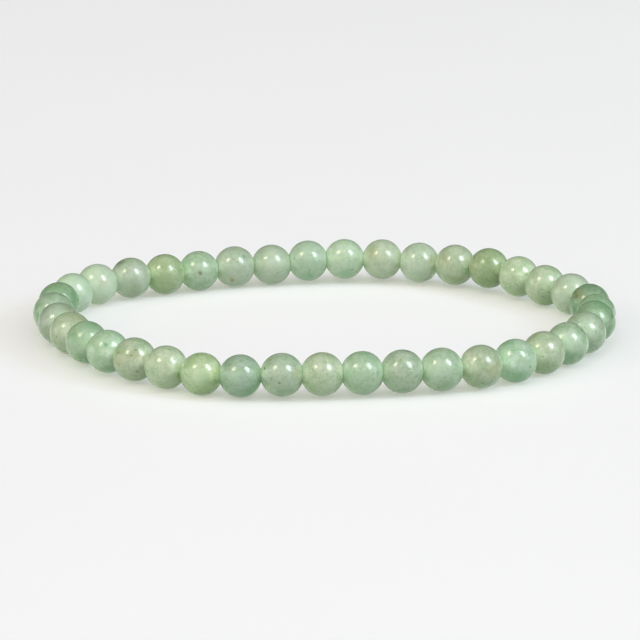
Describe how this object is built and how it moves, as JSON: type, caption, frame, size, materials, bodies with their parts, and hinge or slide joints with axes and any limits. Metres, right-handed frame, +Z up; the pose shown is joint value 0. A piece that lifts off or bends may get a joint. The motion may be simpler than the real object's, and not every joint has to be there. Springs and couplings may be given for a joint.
{
  "type": "beaded bracelet",
  "caption": "Stretch bracelet: round polished green stone beads, drilled and strung on one closed elastic cord, lying flat in a slightly uneven open loop that takes a wrist.",
  "frame": {"origin": "on the table under the middle of the loop", "axes": "+Z up from the table, through the wrist opening; +X along the loop's longer way; -Y towards the picture's camera"},
  "size_m": [0.0698, 0.0558, 0.0055],
  "materials": {
    "aventurine_mint": "polished green aventurine, clear mint green, cloudy and translucent, faint darker flecks",
    "aventurine_aqua": "polished green aventurine, bluish mint green, cloudy and translucent, faint darker flecks",
    "aventurine_sage": "polished green aventurine, pale yellowish sage green, cloudy and translucent, a few brown specks",
    "aventurine_leaf": "polished green aventurine, yellow to olive green, translucent, with denser green patches",
    "aventurine_moss": "polished green aventurine, deeper green, translucent, with darker green patches",
    "aventurine_grey": "polished green aventurine, pale greyish green, cloudy and translucent, with fine dark specks",
    "elastic": "clear milky stretch cord"
  },
  "bodies": {
    "root": {"bead_01": "aventurine_grey", "bead_02": "aventurine_sage", "bead_03": "aventurine_moss", "bead_04": "aventurine_mint", "bead_05": "aventurine_sage", "bead_06": "aventurine_sage", "bead_07": "aventurine_leaf", "bead_08": "aventurine_aqua", "bead_09": "aventurine_grey", "bead_10": "aventurine_sage", "bead_11": "aventurine_mint", "bead_12": "aventurine_grey", "bead_13": "aventurine_mint", "bead_14": "aventurine_sage", "bead_15": "aventurine_aqua", "bead_16": "aventurine_sage", "bead_17": "aventurine_mint", "bead_18": "aventurine_grey", "bead_19": "aventurine_moss", "bead_20": "aventurine_moss", "bead_21": "aventurine_moss", "bead_22": "aventurine_grey", "bead_23": "aventurine_sage", "bead_24": "aventurine_sage", "bead_25": "aventurine_leaf", "bead_26": "aventurine_sage", "bead_27": "aventurine_grey", "bead_28": "aventurine_sage", "bead_29": "aventurine_mint", "bead_30": "aventurine_aqua", "bead_31": "aventurine_grey", "bead_32": "aventurine_grey", "bead_33": "aventurine_mint", "bead_34": "aventurine_leaf", "bead_35": "aventurine_grey", "bead_36": "aventurine_grey", "bead_37": "aventurine_aqua", "bead_38": "aventurine_moss", "bead_39": "aventurine_mint", "elastic_cord": "elastic"}
  },
  "joints": []
}
